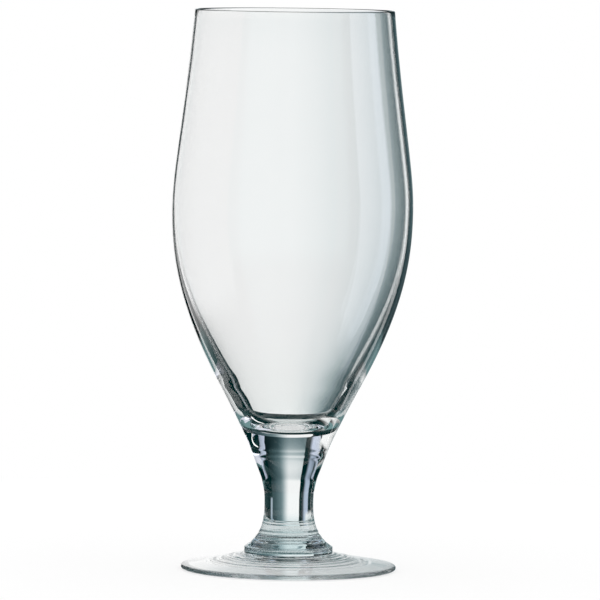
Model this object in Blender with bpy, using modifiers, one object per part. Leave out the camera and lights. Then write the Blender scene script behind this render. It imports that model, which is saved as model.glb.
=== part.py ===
"""Tulip beer glass: a blown bowl, welded to a short drawn stem, welded to a pressed foot.

Every piece is a turned solid about the Z axis. The glass stands on Z = 0.
"""
import math

import bpy
from mathutils import Vector
from mathutils.geometry import interpolate_bezier

# Heights in metres: the whole glass, then the steps stacked from the table to the belly
GLASS_HEIGHT = 0.1744
FOOT_RISE = 0.0053
COLLAR_HEIGHT = 0.0020
FLARE_HEIGHT = 0.0127
NECK_HEIGHT = 0.0175
HIP_RISE = 0.0200
BELLY_RISE = 0.0565

# Outside diameters
FOOT_DIAMETER = 0.0672
COLLAR_DIAMETER = 0.0276
WAIST_DIAMETER = 0.0153
WELD_DIAMETER = 0.02424
HIP_DIAMETER = 0.0440
BELLY_DIAMETER = 0.0751
RIM_DIAMETER = 0.0622

# Glass thickness: the walls are measured square to the outside, and thicken from the belly down
RIM_WALL = 0.0010
BELLY_WALL = 0.0010
HIP_WALL = 0.0036
THICKENING_POWER = 1.7
FLOOR_THICKNESS = 0.0065
FLOOR_CORNER_RISE = 0.0082
FOOT_EDGE = 0.0015
FOOT_HOLLOW = 0.0034
REST_RING_WIDTH = 0.0018
COLLAR_ROUND = 0.00045

# Lean of the outside in degrees, going down: inwards is positive
RIM_LEAN = -5.1
HIP_LEAN = 28.5
CAVITY_LEAN = 30.0
WELD_LEAN = 21.1
FLARE_LEAN = -56.0
FOOT_TOP_LEAN = -75.0
FOOT_EDGE_LEAN = -80.0
HOLLOW_LEAN = 101.0
LEVEL = 90.0

# How far each end of a curve holds its lean, as a share of the curve's chord
SHOULDER_PULLS = (0.506, 0.176)
BELLY_PULLS = (0.226, 0.524)
HIP_PULLS = (0.380, 0.150)
NECK_PULLS = (0.707, 0.263)
FLARE_PULLS = (0.460, 0.340)
FLOOR_PULLS = (0.400, 0.500)
HOLLOW_PULLS = (0.550, 0.350)
EVEN_PULLS = (0.360, 0.360)

# Flat weld faces keep this much room between them
SEAM = 0.0003

TURN_STEPS = 48
MERGE_DISTANCE = 0.00001
LONG_CURVE = 14
SHORT_CURVE = 9
ROUND_STEPS = 7
EDGE_STEPS = 4

COLLAR_FOOT_Z = FOOT_RISE + SEAM
FLARE_Z = FOOT_RISE + COLLAR_HEIGHT
WAIST_Z = FLARE_Z + FLARE_HEIGHT
WELD_Z = WAIST_Z + NECK_HEIGHT
HIP_Z = WELD_Z + HIP_RISE
BELLY_Z = HIP_Z + BELLY_RISE
RIM_Z = GLASS_HEIGHT
FLOOR_Z = WELD_Z + FLOOR_THICKNESS
CORNER_Z = FLOOR_Z + FLOOR_CORNER_RISE


def at(radius, height):
    """A place on the profile plane."""
    return Vector((radius, 0.0, height))


def heading(lean):
    """The way down an outline that leans in towards the axis by an angle in degrees."""
    angle = math.radians(lean)
    return Vector((-math.sin(angle), 0.0, -math.cos(angle)))


def sweep(start, start_lean, end, end_lean, pulls, count):
    """Points of a smooth curve that leaves and arrives at the given leans."""
    chord = (end - start).length
    leaving = start + heading(start_lean) * chord * pulls[0]
    arriving = end - heading(end_lean) * chord * pulls[1]
    return interpolate_bezier(start, leaving, arriving, end, count)


def arc(centre, radius, first, last, count):
    """Points of a round edge between two angles in degrees, counted from +X up to +Z."""
    points = []
    for i in range(count):
        angle = math.radians(first + (last - first) * i / (count - 1))
        points.append(centre + Vector((math.cos(angle), 0.0, math.sin(angle))) * radius)
    return points


def inset(outline, walls):
    """The outline moved square to itself towards the axis by the wall at each point."""
    inside = []
    for i, point in enumerate(outline):
        before = outline[max(i - 1, 0)]
        after = outline[min(i + 1, len(outline) - 1)]
        run = (after - before).normalized()
        inside.append(point + Vector((run.z, 0.0, -run.x)) * walls[i])
    return inside


def bowl_profile():
    """Up the inside from the floor, over the rounded rim and down the outside to the weld."""
    lip_round = RIM_WALL / 2
    lip_centre = at(RIM_DIAMETER / 2 - lip_round, RIM_Z - lip_round)
    lip = arc(lip_centre, lip_round, 180.0 - RIM_LEAN, -RIM_LEAN, ROUND_STEPS)
    rim = lip[-1]
    belly = at(BELLY_DIAMETER / 2, BELLY_Z)
    hip = at(HIP_DIAMETER / 2, HIP_Z)
    weld = at(WELD_DIAMETER / 2, WELD_Z)
    shoulder = sweep(rim, RIM_LEAN, belly, 0.0, SHOULDER_PULLS, SHORT_CURVE)
    belly_to_hip = sweep(belly, 0.0, hip, HIP_LEAN, BELLY_PULLS, LONG_CURVE)
    hip_to_weld = sweep(hip, HIP_LEAN, weld, WELD_LEAN, HIP_PULLS, SHORT_CURVE)

    blown = shoulder + belly_to_hip[1:]
    walls = []
    for point in blown:
        up = max(point.z - BELLY_Z, 0.0) / (rim.z - BELLY_Z)
        down = max(BELLY_Z - point.z, 0.0) / BELLY_RISE
        thicker = (HIP_WALL - BELLY_WALL) * down ** THICKENING_POWER
        walls.append(BELLY_WALL + (RIM_WALL - BELLY_WALL) * up + thicker)
    inside = inset(blown, walls)
    hip_inside = inside[-1]
    narrowing = (hip_inside.z - CORNER_Z) * math.tan(math.radians(CAVITY_LEAN))
    corner = at(hip_inside.x - narrowing, CORNER_Z)
    floor = sweep(corner, CAVITY_LEAN, at(0.0, FLOOR_Z), LEVEL, FLOOR_PULLS, SHORT_CURVE)
    upwards = floor[::-1] + inside[:0:-1]
    return upwards + lip + blown[1:] + hip_to_weld[1:] + [at(0.0, WELD_Z)]


def stem_profile():
    """Down from the flat weld face through the waist and flare to the upright collar."""
    top = WELD_Z - SEAM
    weld = at(WELD_DIAMETER / 2, top)
    waist = at(WAIST_DIAMETER / 2, WAIST_Z)
    collar = COLLAR_DIAMETER / 2
    shoulder = at(collar - COLLAR_ROUND, FLARE_Z)
    neck = sweep(weld, WELD_LEAN, waist, 0.0, NECK_PULLS, SHORT_CURVE)
    flare = sweep(waist, 0.0, shoulder, FLARE_LEAN, FLARE_PULLS, SHORT_CURVE)
    edge_centre = shoulder - at(0.0, COLLAR_ROUND)
    edge = arc(edge_centre, COLLAR_ROUND, 90.0, 0.0, EDGE_STEPS)
    base = [at(collar, COLLAR_FOOT_Z), at(0.0, COLLAR_FOOT_Z)]
    return [at(0.0, top)] + neck + flare[1:] + edge[1:] + base


def foot_profile():
    """From the flat under the stem down to the thin round edge, the resting ring and the hollow."""
    edge_round = FOOT_EDGE / 2
    edge_centre = at(FOOT_DIAMETER / 2 - edge_round, edge_round)
    crown = at(COLLAR_DIAMETER / 2, FOOT_RISE)
    edge_top = at(edge_centre.x, FOOT_EDGE)
    slope = sweep(crown, FOOT_TOP_LEAN, edge_top, FOOT_EDGE_LEAN, EVEN_PULLS, SHORT_CURVE)
    edge = arc(edge_centre, edge_round, 90.0, -90.0, ROUND_STEPS)
    ring_inside = at(edge_centre.x - REST_RING_WIDTH, 0.0)
    hollow = sweep(ring_inside, HOLLOW_LEAN, at(0.0, FOOT_HOLLOW), LEVEL, HOLLOW_PULLS, SHORT_CURVE)
    return [at(0.0, FOOT_RISE)] + slope + edge[1:] + hollow


def glass_material(name, colour, roughness):
    """Clear glass with the faint tint of its thickness."""
    material = bpy.data.materials.new(name)
    material.use_nodes = True
    shader = material.node_tree.nodes["Principled BSDF"]
    shader.inputs["Base Color"].default_value = (*colour, 1.0)
    shader.inputs["Roughness"].default_value = roughness
    shader.inputs["Metallic"].default_value = 0.0
    shader.inputs["IOR"].default_value = 1.52
    shader.inputs["Transmission Weight"].default_value = 1.0
    return material


def turned(name, profile, material, collection):
    """A solid turned from a profile that runs from the axis round to the axis again."""
    mesh = bpy.data.meshes.new(name)
    edges = [(i, i + 1) for i in range(len(profile) - 1)]
    mesh.from_pydata(profile, edges, [])
    piece = bpy.data.objects.new(name, mesh)
    collection.objects.link(piece)
    mesh.materials.append(material)
    screw = piece.modifiers.new("turn", "SCREW")
    screw.axis = "Z"
    screw.steps = TURN_STEPS
    screw.render_steps = TURN_STEPS
    screw.use_merge_vertices = True
    screw.merge_threshold = MERGE_DISTANCE
    screw.use_smooth_shade = True
    return piece


def main():
    for existing in list(bpy.data.objects):
        bpy.data.objects.remove(existing, do_unlink=True)
    glass = bpy.data.collections.new("tulip_beer_glass")
    bpy.context.scene.collection.children.link(glass)
    turned("bowl", bowl_profile(), glass_material("bowl_glass", (0.93, 0.96, 0.96), 0.02), glass)
    turned("stem", stem_profile(), glass_material("stem_glass", (0.86, 0.92, 0.92), 0.02), glass)
    turned("foot", foot_profile(), glass_material("foot_glass", (0.89, 0.94, 0.94), 0.03), glass)


main()
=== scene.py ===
"""Looks of the tulip beer glass: a blown bowl, a drawn stem and a pressed foot, all of clear glass."""
import math

import bpy
from mathutils import Euler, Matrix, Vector
from mathutils.geometry import interpolate_bezier


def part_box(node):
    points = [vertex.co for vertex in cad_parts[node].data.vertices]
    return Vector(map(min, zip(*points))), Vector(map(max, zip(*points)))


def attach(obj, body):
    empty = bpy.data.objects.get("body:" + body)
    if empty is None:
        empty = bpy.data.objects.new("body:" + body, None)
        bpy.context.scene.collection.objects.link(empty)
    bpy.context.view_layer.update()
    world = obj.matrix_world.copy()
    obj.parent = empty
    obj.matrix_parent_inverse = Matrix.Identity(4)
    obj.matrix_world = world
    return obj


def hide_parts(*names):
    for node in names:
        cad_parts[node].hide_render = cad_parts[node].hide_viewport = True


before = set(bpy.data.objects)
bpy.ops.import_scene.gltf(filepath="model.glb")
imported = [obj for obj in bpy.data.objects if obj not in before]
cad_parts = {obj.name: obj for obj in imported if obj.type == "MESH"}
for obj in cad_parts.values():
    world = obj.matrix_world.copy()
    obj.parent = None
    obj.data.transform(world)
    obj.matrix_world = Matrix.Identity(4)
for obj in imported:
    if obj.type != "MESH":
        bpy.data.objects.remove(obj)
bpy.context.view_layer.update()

# Sizes taken from the frame, in metres
FOOT_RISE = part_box("foot")[1].z
FOOT_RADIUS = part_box("foot")[1].x
COLLAR_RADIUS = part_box("stem")[1].x
WELD_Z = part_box("bowl")[0].z
BELLY_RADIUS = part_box("bowl")[1].x
RIM_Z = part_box("bowl")[1].z

# Outline between those sizes
COLLAR_HEIGHT = 0.0020
FLARE_HEIGHT = 0.0127
HIP_RISE = 0.0200
BELLY_RISE = 0.0565
WAIST_RADIUS = 0.00765
WELD_RADIUS = 0.01212
HIP_RADIUS = 0.0220
RIM_RADIUS = 0.0311
RIM_WALL = 0.0010
BELLY_WALL = 0.0010
HIP_WALL = 0.0036
THICKENING_POWER = 1.7
FLOOR_THICKNESS = 0.0065
CORNER_RISE = 0.0082
FOOT_EDGE = 0.0015
FOOT_HOLLOW = 0.0034
REST_RING_WIDTH = 0.0018
COLLAR_ROUND = 0.00045

# Lean of the outside in degrees, going down: inwards is positive
RIM_LEAN = -5.1
HIP_LEAN = 28.5
CAVITY_LEAN = 30.0
WELD_LEAN = 21.1
FLARE_LEAN = -56.0
FOOT_TOP_LEAN = -75.0
FOOT_EDGE_LEAN = -80.0
HOLLOW_LEAN = 101.0
LEVEL = 90.0

# How far each end of a curve holds its lean, as a share of the curve's chord
SHOULDER_PULLS = (0.506, 0.176)
BELLY_PULLS = (0.226, 0.524)
HIP_PULLS = (0.380, 0.150)
NECK_PULLS = (0.707, 0.263)
FLARE_PULLS = (0.460, 0.340)
FLOOR_PULLS = (0.400, 0.500)
HOLLOW_PULLS = (0.550, 0.350)
EVEN_PULLS = (0.360, 0.360)

# Marks of the making: the weld's swell, the neck's dip, the rings of the mould and wear
WELD_SWELL = 0.00004
WELD_SWELL_WIDTH = 0.0006
NECK_DIP_Z = 0.0287
NECK_DIP = -0.00012
NECK_DIP_WIDTH = 0.0018
FLARE_RING_DEPTH = 0.00012
FLARE_RING_PITCH = 0.0014
FLARE_RINGS_Z = (0.0074, 0.0138)
FOOT_RING_DEPTH = 0.00009
FOOT_RING_PITCH = 0.0016
FOOT_RINGS_RADIUS = (0.0139, 0.0200)
MOULD_RING_PITCH = 0.0026
MOULD_RINGS_RADIUS = (0.002, 0.027)
MAIN_RING = 0.6
SLOW_RING = 0.4
SLOW_RING_RATE = 0.63
WAVE_DEPTH = 0.00002
SCRATCH_SIZE = 0.0009
WORN_HEIGHTS = (0.00002, 0.00008)
WORN_ROUGHNESS = 0.06
SCRATCHED_ROUGHNESS = 0.30

# Fineness of the turned pieces
TURN_STEPS = 160
LONG_CURVE = 40
RINGED_CURVE = 120
ROUND_STEPS = 15
MERGE_DISTANCE = 0.000002
SMOOTH_UP_TO = 50.0

# How many glass faces a ray may have passed and still show a card
NEAR_WALL = 3
ANY_WALL = 100

# Camera, from the photograph's frame of 600 by 600 pixels
CAMERA_DISTANCE = 1.95
CAMERA_HEIGHT = 0.2136
CAMERA_ROLL = 0.72
SENSOR = 36.0
FRAME_PIXELS = 600
METRES_PER_PIXEL = 0.0003107
FOOT_PIXEL = (291.4, 568.8)

FLARE_Z = FOOT_RISE + COLLAR_HEIGHT
WAIST_Z = FLARE_Z + FLARE_HEIGHT
HIP_Z = WELD_Z + HIP_RISE
BELLY_Z = HIP_Z + BELLY_RISE
FLOOR_Z = WELD_Z + FLOOR_THICKNESS


def at(radius, height):
    """A place on the profile plane."""
    return Vector((radius, 0.0, height))


def heading(lean):
    """The way down an outline that leans in towards the axis by an angle in degrees."""
    angle = math.radians(lean)
    return Vector((-math.sin(angle), 0.0, -math.cos(angle)))


def sweep(start, start_lean, end, end_lean, pulls, count):
    """Points of a smooth curve that leaves and arrives at the given leans."""
    chord = (end - start).length
    leaving = start + heading(start_lean) * chord * pulls[0]
    arriving = end - heading(end_lean) * chord * pulls[1]
    return interpolate_bezier(start, leaving, arriving, end, count)


def arc(centre, radius, first, last, count):
    """Points of a round edge between two angles in degrees, counted from +X up to +Z."""
    points = []
    for i in range(count):
        angle = math.radians(first + (last - first) * i / (count - 1))
        points.append(centre + Vector((math.cos(angle), 0.0, math.sin(angle))) * radius)
    return points


def inset(outline, walls):
    """The outline moved square to itself towards the axis by the wall at each point."""
    inside = []
    for i, point in enumerate(outline):
        before = outline[max(i - 1, 0)]
        after = outline[min(i + 1, len(outline) - 1)]
        run = (after - before).normalized()
        inside.append(point + Vector((run.z, 0.0, -run.x)) * walls[i])
    return inside


def swell(points, height, width, depth):
    """The outline with a soft swell, or a dip where the depth is negative, at one height."""
    return [p + at(depth * math.exp(-((p.z - height) / width) ** 2), 0.0) for p in points]


def rings(value, first, last, pitch, depth):
    """Depth of the chill rings at a place between first and last, fading out at both ends."""
    share = (value - first) / (last - first)
    if share <= 0.0 or share >= 1.0:
        return 0.0
    turns = 2 * math.pi * (value - first) / pitch
    fade = min(1.0, 2 * math.sin(math.pi * share))
    wave = MAIN_RING * math.sin(turns) + SLOW_RING * math.sin(SLOW_RING_RATE * turns)
    return depth * fade * wave


def bowl_outline():
    """Up the inside from the floor, over the rounded rim and down the outside to the weld."""
    lip_round = RIM_WALL / 2
    lip_centre = at(RIM_RADIUS - lip_round, RIM_Z - lip_round)
    lip = arc(lip_centre, lip_round, 180.0 - RIM_LEAN, -RIM_LEAN, ROUND_STEPS)
    rim = lip[-1]
    belly = at(BELLY_RADIUS, BELLY_Z)
    hip = at(HIP_RADIUS, HIP_Z)
    weld = at(WELD_RADIUS, WELD_Z)
    shoulder = sweep(rim, RIM_LEAN, belly, 0.0, SHOULDER_PULLS, LONG_CURVE)
    belly_to_hip = sweep(belly, 0.0, hip, HIP_LEAN, BELLY_PULLS, LONG_CURVE)
    hip_to_weld = sweep(hip, HIP_LEAN, weld, WELD_LEAN, HIP_PULLS, RINGED_CURVE)

    blown = shoulder + belly_to_hip[1:]
    walls = []
    for point in blown:
        up = max(point.z - BELLY_Z, 0.0) / (rim.z - BELLY_Z)
        down = max(BELLY_Z - point.z, 0.0) / BELLY_RISE
        thicker = (HIP_WALL - BELLY_WALL) * down ** THICKENING_POWER
        walls.append(BELLY_WALL + (RIM_WALL - BELLY_WALL) * up + thicker)
    inside = inset(blown, walls)
    corner_z = FLOOR_Z + CORNER_RISE
    narrowing = (inside[-1].z - corner_z) * math.tan(math.radians(CAVITY_LEAN))
    corner = at(inside[-1].x - narrowing, corner_z)
    cavity = sweep(inside[-1], HIP_LEAN, corner, CAVITY_LEAN, EVEN_PULLS, ROUND_STEPS)
    floor = sweep(corner, CAVITY_LEAN, at(0.0, FLOOR_Z), LEVEL, FLOOR_PULLS, LONG_CURVE)
    base = swell(hip_to_weld[1:], WELD_Z, WELD_SWELL_WIDTH, WELD_SWELL)
    inner = floor[::-1] + cavity[-2::-1] + inside[-2:0:-1]
    return inner + lip + blown[1:] + base + [at(0.0, WELD_Z)]


def stem_outline():
    """Down from the flat weld face through the waist and the ringed flare to the upright collar."""
    weld = at(WELD_RADIUS, WELD_Z)
    waist = at(WAIST_RADIUS, WAIST_Z)
    shoulder = at(COLLAR_RADIUS - COLLAR_ROUND, FLARE_Z)
    neck = sweep(weld, WELD_LEAN, waist, 0.0, NECK_PULLS, RINGED_CURVE)
    neck = swell(neck, WELD_Z, WELD_SWELL_WIDTH, WELD_SWELL)
    neck = swell(neck, NECK_DIP_Z, NECK_DIP_WIDTH, NECK_DIP)
    flare = sweep(waist, 0.0, shoulder, FLARE_LEAN, FLARE_PULLS, RINGED_CURVE)
    ringed = []
    for p in flare:
        ringed.append(p + at(rings(p.z, *FLARE_RINGS_Z, FLARE_RING_PITCH, FLARE_RING_DEPTH), 0.0))
    edge_centre = shoulder - at(0.0, COLLAR_ROUND)
    edge = arc(edge_centre, COLLAR_ROUND, 90.0, 0.0, ROUND_STEPS)
    base = [at(COLLAR_RADIUS, FOOT_RISE), at(0.0, FOOT_RISE)]
    return [at(0.0, WELD_Z)] + neck + ringed[1:] + edge[1:] + base


def foot_outline():
    """From the flat under the stem down the ringed top to the edge, resting ring and hollow."""
    edge_round = FOOT_EDGE / 2
    edge_centre = at(FOOT_RADIUS - edge_round, edge_round)
    crown = at(COLLAR_RADIUS, FOOT_RISE)
    edge_top = at(edge_centre.x, FOOT_EDGE)
    slope = sweep(crown, FOOT_TOP_LEAN, edge_top, FOOT_EDGE_LEAN, EVEN_PULLS, RINGED_CURVE)
    ringed = []
    for p in slope:
        ringed.append(p + at(0.0, rings(p.x, *FOOT_RINGS_RADIUS, FOOT_RING_PITCH, FOOT_RING_DEPTH)))
    edge = arc(edge_centre, edge_round, 90.0, -90.0, ROUND_STEPS)
    ring_inside = at(edge_centre.x - REST_RING_WIDTH, 0.0)
    hollow = sweep(ring_inside, HOLLOW_LEAN, at(0.0, FOOT_HOLLOW), LEVEL, HOLLOW_PULLS, RINGED_CURVE)
    moulded = []
    for p in hollow:
        moulded.append(p + at(0.0, rings(p.x, *MOULD_RINGS_RADIUS, MOULD_RING_PITCH, FOOT_RING_DEPTH)))
    return [at(0.0, FOOT_RISE)] + ringed + edge[1:] + moulded


def turn_piece(name, outline):
    """Traces an outline by extruding one point along it, then spins it into a closed turned piece."""
    bpy.ops.object.select_all(action="DESELECT")
    bpy.ops.mesh.primitive_plane_add(size=0.001, location=outline[0])
    piece = bpy.context.active_object
    piece.name = name
    piece.data.name = name
    bpy.ops.object.transform_apply(location=True, rotation=True, scale=True)
    bpy.ops.object.mode_set(mode="EDIT")
    bpy.ops.mesh.select_mode(type="VERT")
    bpy.ops.mesh.select_all(action="SELECT")
    bpy.ops.mesh.merge(type="CENTER")
    for here, there in zip(outline, outline[1:]):
        bpy.ops.mesh.extrude_vertices_move(TRANSFORM_OT_translate={"value": there - here})
    bpy.ops.mesh.select_all(action="SELECT")
    bpy.ops.mesh.spin(steps=TURN_STEPS, angle=2 * math.pi, center=(0, 0, 0), axis=(0, 0, 1))
    bpy.ops.mesh.select_all(action="SELECT")
    bpy.ops.mesh.remove_doubles(threshold=MERGE_DISTANCE)
    bpy.ops.mesh.normals_make_consistent(inside=False)
    bpy.ops.object.mode_set(mode="OBJECT")
    bpy.ops.object.shade_smooth_by_angle(angle=math.radians(SMOOTH_UP_TO))
    return piece


def math_node(tree, operation, a, b=0.0):
    """A sum on two values, each a number or another node's output."""
    node = tree.nodes.new("ShaderNodeMath")
    node.operation = operation
    for socket, value in zip(node.inputs, (a, b)):
        if isinstance(value, (int, float)):
            socket.default_value = value
        else:
            tree.links.new(value, socket)
    return node.outputs[0]


def ramp_up(tree, value, low, high):
    """0 below low, 1 above high, with a soft rise between."""
    node = tree.nodes.new("ShaderNodeMapRange")
    node.interpolation_type = "SMOOTHSTEP"
    tree.links.new(value, node.inputs["Value"])
    node.inputs["From Min"].default_value = low
    node.inputs["From Max"].default_value = high
    return node.outputs[0]


def between(tree, value, limits, soft):
    """1 between two limits, with soft edges of the given half widths."""
    rise = ramp_up(tree, value, limits[0] - soft[0], limits[0] + soft[0])
    fall = ramp_up(tree, value, limits[1] - soft[1], limits[1] + soft[1])
    return math_node(tree, "SUBTRACT", rise, fall)


def mix_colour(tree, share, under, over):
    """One colour laid over another by a share."""
    node = tree.nodes.new("ShaderNodeMix")
    node.data_type = "RGBA"
    sockets = (node.inputs["Factor"], node.inputs[6], node.inputs[7])
    for socket, value in zip(sockets, (share, under, over)):
        if isinstance(value, tuple):
            socket.default_value = (*value, 1.0)
        else:
            tree.links.new(value, socket)
    return node.outputs[2]


def linear(red, green, blue):
    """A light's colour from 0 to 255 screen values."""
    channels = []
    for channel in (red, green, blue):
        c = channel / 255
        channels.append(c / 12.92 if c <= 0.04045 else ((c + 0.055) / 1.055) ** 2.4)
    return tuple(channels)


def place_of(tree):
    """Where on its own object a point is, as x, y and z."""
    coords = tree.nodes.new("ShaderNodeTexCoord")
    split = tree.nodes.new("ShaderNodeSeparateXYZ")
    tree.links.new(coords.outputs["Object"], split.inputs[0])
    return split.outputs


def clear_glass(name, high_tint, low_tint, heights, wave):
    """Clear glass with one tint below the heights and another above, and a faint waviness."""
    material = bpy.data.materials.new(name)
    material.use_nodes = True
    tree = material.node_tree
    shader = tree.nodes["Principled BSDF"]
    coords = tree.nodes.new("ShaderNodeTexCoord")
    split = tree.nodes.new("ShaderNodeSeparateXYZ")
    tree.links.new(coords.outputs["Object"], split.inputs[0])
    above = ramp_up(tree, split.outputs[2], *heights)
    tree.links.new(mix_colour(tree, above, low_tint, high_tint), shader.inputs["Base Color"])
    noise = tree.nodes.new("ShaderNodeTexNoise")
    tree.links.new(coords.outputs["Object"], noise.inputs["Vector"])
    noise.inputs["Scale"].default_value = 1 / wave[0]
    noise.inputs["Detail"].default_value = 1.0
    bump = tree.nodes.new("ShaderNodeBump")
    bump.inputs["Distance"].default_value = wave[1]
    tree.links.new(noise.outputs["Fac"], bump.inputs["Height"])
    tree.links.new(bump.outputs["Normal"], shader.inputs["Normal"])
    shader.inputs["Roughness"].default_value = 0.0
    shader.inputs["IOR"].default_value = 1.52
    shader.inputs["Transmission Weight"].default_value = 1.0
    return material


def wear_resting_ring(material):
    """Dulls the ring that the glass stands on with fine scratches."""
    tree = material.node_tree
    height = place_of(tree)[2]
    touched = math_node(tree, "SUBTRACT", 1.0, ramp_up(tree, height, *WORN_HEIGHTS))
    noise = tree.nodes.new("ShaderNodeTexNoise")
    noise.inputs["Scale"].default_value = 1 / SCRATCH_SIZE
    coords = tree.nodes.new("ShaderNodeTexCoord")
    tree.links.new(coords.outputs["Object"], noise.inputs["Vector"])
    scratches = ramp_up(tree, noise.outputs["Fac"], 0.42, 0.62)
    scratched = math_node(tree, "MULTIPLY", scratches, SCRATCHED_ROUGHNESS)
    worn = math_node(tree, "ADD", scratched, WORN_ROUGHNESS)
    rough = math_node(tree, "MULTIPLY", worn, touched)
    tree.links.new(rough, tree.nodes["Principled BSDF"].inputs["Roughness"])


def fused_weld():
    """The fused faces inside the glass, which don't show."""
    material = bpy.data.materials.new("fused_weld")
    material.use_nodes = True
    material.node_tree.nodes["Principled BSDF"].inputs["Alpha"].default_value = 0.0
    return material


def paint_welds(piece, heights):
    """Gives the flat weld faces the second material slot."""
    for face in piece.data.polygons:
        if abs(face.normal.z) > 0.999 and any(abs(face.center.z - z) < 1e-6 for z in heights):
            face.material_index = 1


def part_welds():
    """Parts the shading of the weld faces from the walls around them."""
    bpy.ops.object.mode_set(mode="EDIT")
    bpy.ops.mesh.select_mode(type="FACE")
    bpy.ops.mesh.select_all(action="DESELECT")
    bpy.context.object.active_material_index = 1
    bpy.ops.object.material_slot_select()
    bpy.ops.mesh.region_to_loop()
    bpy.ops.mesh.mark_sharp()
    bpy.ops.object.mode_set(mode="OBJECT")


def dress(name, node, outline, glass, weld, weld_heights):
    """One turned piece of the glass in place of its CAD node."""
    piece = turn_piece(name, outline)
    piece.data.materials.clear()
    piece.data.materials.append(glass)
    piece.data.materials.append(weld)
    paint_welds(piece, weld_heights)
    part_welds()
    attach(piece, "root")
    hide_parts(node)


def panel(tree, sky, under, sides, heights, soft, colour, share=1.0):
    """A soft-edged panel of the studio over what is under it, by azimuth and elevation in degrees."""
    across = between(tree, sky[0], sides, soft[:2])
    up = between(tree, sky[1], heights, soft[2:])
    area = math_node(tree, "MULTIPLY", across, up)
    return mix_colour(tree, math_node(tree, "MULTIPLY", area, share), under, colour)


def studio_world():
    """White panels between dark screens, seen in the glass; plain white for the camera."""
    world = bpy.data.worlds.new("studio")
    bpy.context.scene.world = world
    world.use_nodes = True
    tree = world.node_tree
    tree.nodes.clear()
    coords = tree.nodes.new("ShaderNodeTexCoord")
    split = tree.nodes.new("ShaderNodeSeparateXYZ")
    tree.links.new(coords.outputs["Generated"], split.inputs[0])
    x, y, z = split.outputs
    azimuth = math_node(tree, "MULTIPLY", math_node(tree, "ARCTAN2", x, y), 180 / math.pi)
    elevation = math_node(tree, "MULTIPLY", math_node(tree, "ARCSINE", z), 180 / math.pi)
    sky = (azimuth, elevation)
    path = tree.nodes.new("ShaderNodeLightPath")
    through = math_node(tree, "LESS_THAN", path.outputs["Glossy Depth"], 0.5)

    white = (1.0, 1.0, 1.0)
    screen = linear(0, 32, 33)
    room = linear(120, 152, 154)
    behind = math_node(tree, "SUBTRACT", 1.0, between(tree, azimuth, (-84, 124), (4, 4)))
    behind = math_node(tree, "MULTIPLY", behind, between(tree, elevation, (-20, 42), (5, 8)))
    look = mix_colour(tree, behind, screen, room)
    # pale patch low on the right, below the back card
    look = panel(tree, sky, look, (7, 24), (-30, -14), (4, 3, 4, 5), linear(205, 212, 216))
    # lavender panel on the left and narrow strip on the right, not shown to mirrored rays
    look = panel(tree, sky, look, (-40, -27), (-28, 26), (1, 3, 1, 5), linear(170, 185, 205), through)
    look = panel(tree, sky, look, (28, 37), (-28, -3), (0.5, 1, 1, 1.5), linear(165, 178, 190), through)
    # high side panels
    look = panel(tree, sky, look, (-60, -26), (28, 50), (3, 3, 2, 6), linear(205, 215, 235))
    look = panel(tree, sky, look, (26, 60), (28, 50), (3, 3, 2, 6), linear(205, 215, 235))

    # the room around is seen as white through the glass, and dimmer where the glass mirrors it
    pale = linear(243, 245, 245)
    around = math_node(tree, "SUBTRACT", 1.0, between(tree, azimuth, (-112, 118), (5, 5)))
    around = math_node(tree, "MULTIPLY", around, between(tree, elevation, (-40, 30), (6, 10)))
    look = mix_colour(tree, math_node(tree, "MULTIPLY", around, through), look, pale)
    look = panel(tree, sky, look, (-110, -78), (-17, 11), (5, 5, 4, 4), pale, through)
    look = panel(tree, sky, look, (-60, -32), (-42, -13), (4, 4, 5, 4), pale, through)
    seen = math_node(tree, "ADD", path.outputs["Is Glossy Ray"], path.outputs["Is Transmission Ray"])
    studio = mix_colour(tree, seen, (0.9, 0.9, 0.9), look)
    final = mix_colour(tree, path.outputs["Is Camera Ray"], studio, white)
    background = tree.nodes.new("ShaderNodeBackground")
    tree.links.new(final, background.inputs["Color"])
    out = tree.nodes.new("ShaderNodeOutputWorld")
    tree.links.new(background.outputs[0], out.inputs["Surface"])


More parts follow.
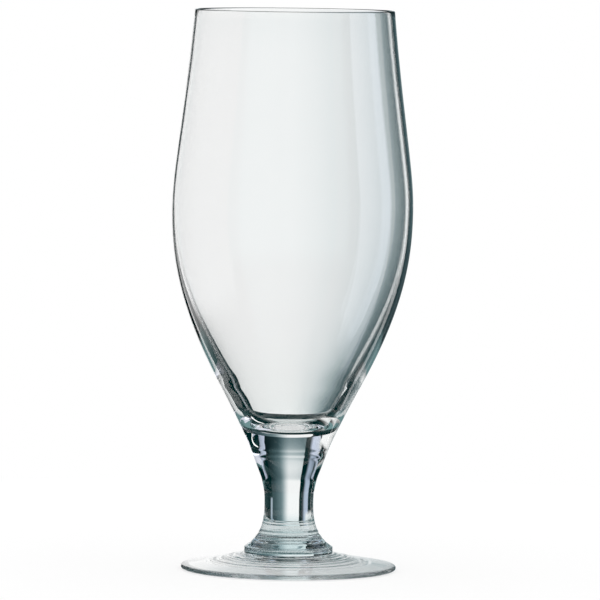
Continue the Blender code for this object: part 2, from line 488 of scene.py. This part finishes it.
def studio_floor():
    """A white floor that keeps the glass's faint shadow and shows under the foot through the glass."""
    bpy.ops.object.select_all(action="DESELECT")
    place = (0, 0, -0.0002)
    bpy.ops.mesh.primitive_circle_add(vertices=96, radius=0.30, fill_type="NGON", location=place)
    floor = bpy.context.active_object
    floor.name = "studio_floor"
    material = bpy.data.materials.new("white_floor")
    material.use_nodes = True
    tree = material.node_tree
    tree.nodes.clear()
    diffuse = tree.nodes.new("ShaderNodeBsdfDiffuse")
    diffuse.inputs["Color"].default_value = (0.35, 0.35, 0.35, 1)
    glow = tree.nodes.new("ShaderNodeEmission")
    glow.inputs["Strength"].default_value = 0.70
    add = tree.nodes.new("ShaderNodeAddShader")
    tree.links.new(diffuse.outputs[0], add.inputs[0])
    tree.links.new(glow.outputs[0], add.inputs[1])
    # the glass shows the floor under its foot, and looks past the rest of it
    x, y = place_of(tree)[:2]
    across = math_node(tree, "POWER", x, 2.0)
    along = math_node(tree, "POWER", y, 2.0)
    radius = math_node(tree, "SQRT", math_node(tree, "ADD", across, along))
    path = tree.nodes.new("ShaderNodeLightPath")
    seen = math_node(tree, "ADD", path.outputs["Is Glossy Ray"], path.outputs["Is Transmission Ray"])
    past = math_node(tree, "MULTIPLY", seen, math_node(tree, "GREATER_THAN", radius, FOOT_RADIUS))
    clear = tree.nodes.new("ShaderNodeBsdfTransparent")
    mix = tree.nodes.new("ShaderNodeMixShader")
    tree.links.new(past, mix.inputs[0])
    tree.links.new(add.outputs[0], mix.inputs[1])
    tree.links.new(clear.outputs[0], mix.inputs[2])
    out = tree.nodes.new("ShaderNodeOutputMaterial")
    tree.links.new(mix.outputs[0], out.inputs["Surface"])
    floor.data.materials.append(material)


def standing_card(name, low, high, seen_by, most_walls):
    """A glowing card between two corners, met only by the rays its Light Path output names."""
    middle = [(p + q) / 2 for p, q in zip(low, high)]
    bpy.ops.object.select_all(action="DESELECT")
    bpy.ops.mesh.primitive_plane_add(size=1.0, location=middle, rotation=(math.pi / 2, 0, 0))
    card = bpy.context.active_object
    card.name = name
    bpy.ops.object.transform_apply(location=False, rotation=True, scale=False)
    run = math.hypot(high[0] - low[0], high[1] - low[1])
    card.scale = (run, 1.0, high[2] - low[2])
    card.rotation_euler = (0, 0, math.atan2(high[1] - low[1], high[0] - low[0]))
    bpy.ops.object.transform_apply(location=True, rotation=True, scale=True)
    material = bpy.data.materials.new(name)
    material.use_nodes = True
    tree = material.node_tree
    tree.nodes.clear()
    glow = tree.nodes.new("ShaderNodeEmission")
    clear = tree.nodes.new("ShaderNodeBsdfTransparent")
    path = tree.nodes.new("ShaderNodeLightPath")
    seen = math_node(tree, "MINIMUM", path.outputs[seen_by], 1.0)
    near = math_node(tree, "LESS_THAN", path.outputs["Transmission Depth"], most_walls)
    seen = math_node(tree, "MULTIPLY", seen, near)
    mix = tree.nodes.new("ShaderNodeMixShader")
    tree.links.new(seen, mix.inputs[0])
    tree.links.new(clear.outputs[0], mix.inputs[1])
    tree.links.new(glow.outputs[0], mix.inputs[2])
    out = tree.nodes.new("ShaderNodeOutputMaterial")
    tree.links.new(mix.outputs[0], out.inputs["Surface"])
    card.data.materials.append(material)
    return tree, glow


def back_card():
    """The card behind the glass, lit from the left and from below, so it greys to the right and up."""
    low, high = (-0.153, 0.50, -0.21), (0.300, 0.50, 0.42)
    tree, glow = standing_card("back_card", low, high, "Is Glossy Ray", ANY_WALL)
    x, _, z = place_of(tree)
    near_fall = math_node(tree, "MULTIPLY", ramp_up(tree, x, -0.007, 0.121), 0.62)
    far_fall = math_node(tree, "MULTIPLY", ramp_up(tree, x, 0.03, 0.27), 0.27)
    lit = math_node(tree, "SUBTRACT", math_node(tree, "SUBTRACT", 1.0, near_fall), far_fall)
    up_fall = math_node(tree, "MULTIPLY", ramp_up(tree, z, 0.14, 0.36), 0.75)
    lit = math_node(tree, "MULTIPLY", lit, math_node(tree, "SUBTRACT", 1.0, up_fall))
    tint = mix_colour(tree, lit, linear(122, 186, 198), (1.0, 1.0, 1.0))
    tree.links.new(tint, glow.inputs["Color"])
    tree.links.new(lit, glow.inputs["Strength"])


def left_card():
    """The card close on the left of the bowl, clear of the table and fading towards the camera."""
    low, high = (-0.080, -0.06, 0.024), (-0.080, 0.0955, 0.26)
    tree, glow = standing_card("left_card", low, high, "Glossy Depth", ANY_WALL)
    _, y, z = place_of(tree)
    lit = math_node(tree, "MULTIPLY", ramp_up(tree, y, -0.06, 0.03), 0.60)
    lit = math_node(tree, "ADD", lit, 0.46)
    lit = math_node(tree, "MULTIPLY", lit, ramp_up(tree, z, 0.026, 0.060))
    tree.links.new(lit, glow.inputs["Strength"])


def right_box():
    """The soft box close on the right, brighter at its far end."""
    low, high = (0.12, -0.071, -0.040), (0.12, 0.0101, 0.30)
    tree, glow = standing_card("right_box", low, high, "Glossy Depth", NEAR_WALL)
    _, y, z = place_of(tree)
    lit = math_node(tree, "MULTIPLY", ramp_up(tree, y, -0.022, -0.011), 0.7)
    glow.inputs["Color"].default_value = (*linear(238, 241, 253), 1.0)
    lit = math_node(tree, "ADD", lit, 0.95)
    lit = math_node(tree, "MULTIPLY", lit, ramp_up(tree, z, -0.04, -0.01))
    tree.links.new(lit, glow.inputs["Strength"])


def right_card():
    """The narrow card on the right that draws the bright line along the bowl's edge."""
    low, high = (0.082, 0.06, -0.010), (0.099, 0.06, 0.24)
    _, glow = standing_card("right_card", low, high, "Glossy Depth", NEAR_WALL)
    glow.inputs["Strength"].default_value = 1.4


def place_camera():
    """A long lens a little above the rim, rolled as the photograph is."""
    data = bpy.data.cameras.new("camera")
    camera = bpy.data.objects.new("camera", data)
    bpy.context.scene.collection.objects.link(camera)
    bpy.context.scene.camera = camera
    focal_pixels = CAMERA_DISTANCE / METRES_PER_PIXEL
    data.sensor_width = SENSOR
    data.lens = focal_pixels * SENSOR / FRAME_PIXELS
    data.clip_end = 100.0
    middle = FRAME_PIXELS / 2
    # the angle down to the foot is known, so the pitch puts the foot on its pixel row
    foot_angle = math.atan(CAMERA_HEIGHT / CAMERA_DISTANCE)
    pitch = foot_angle - math.atan((FOOT_PIXEL[1] - middle) / focal_pixels)
    yaw = math.atan((FOOT_PIXEL[0] - middle) / focal_pixels)
    camera.location = (0.0, -CAMERA_DISTANCE, CAMERA_HEIGHT)
    turn = Euler((math.pi / 2 - pitch, 0.0, yaw), "XYZ").to_matrix()
    roll = Euler((0.0, 0.0, math.radians(CAMERA_ROLL)), "XYZ").to_matrix()
    camera.rotation_euler = (turn @ roll).to_euler()


def studio_render_settings():
    """Plain colours, and enough bounces for light to find its way out of thick glass."""
    scene = bpy.context.scene
    scene.view_settings.view_transform = "Standard"
    scene.cycles.max_bounces = 40
    scene.cycles.glossy_bounces = 32
    scene.cycles.transmission_bounces = 32
    scene.cycles.transparent_max_bounces = 32


weld = fused_weld()
bowl_glass = clear_glass(
    "bowl_glass", (0.995, 0.998, 0.997), (0.975, 0.990, 0.985), (0.045, 0.080), (0.014, WAVE_DEPTH))
# the stem's deep tint below the waist is partly the green of its thick glass and partly painted shade,
# the dark surroundings seen through the flare
stem_glass = clear_glass(
    "stem_glass", (0.970, 0.988, 0.984), (0.620, 0.755, 0.770), (0.011, 0.019), (0.008, WAVE_DEPTH))
foot_glass = clear_glass(
    "foot_glass", (0.975, 0.990, 0.985), (0.980, 0.992, 0.987), (0.000, 0.005), (0.010, WAVE_DEPTH))
wear_resting_ring(foot_glass)
dress("bowl_glass_shell", "bowl", bowl_outline(), bowl_glass, weld, [WELD_Z])
dress("stem_glass_solid", "stem", stem_outline(), stem_glass, weld, [WELD_Z, FOOT_RISE])
dress("foot_glass_disc", "foot", foot_outline(), foot_glass, weld, [FOOT_RISE])
studio_world()
studio_floor()
back_card()
left_card()
right_box()
right_card()
place_camera()
studio_render_settings()
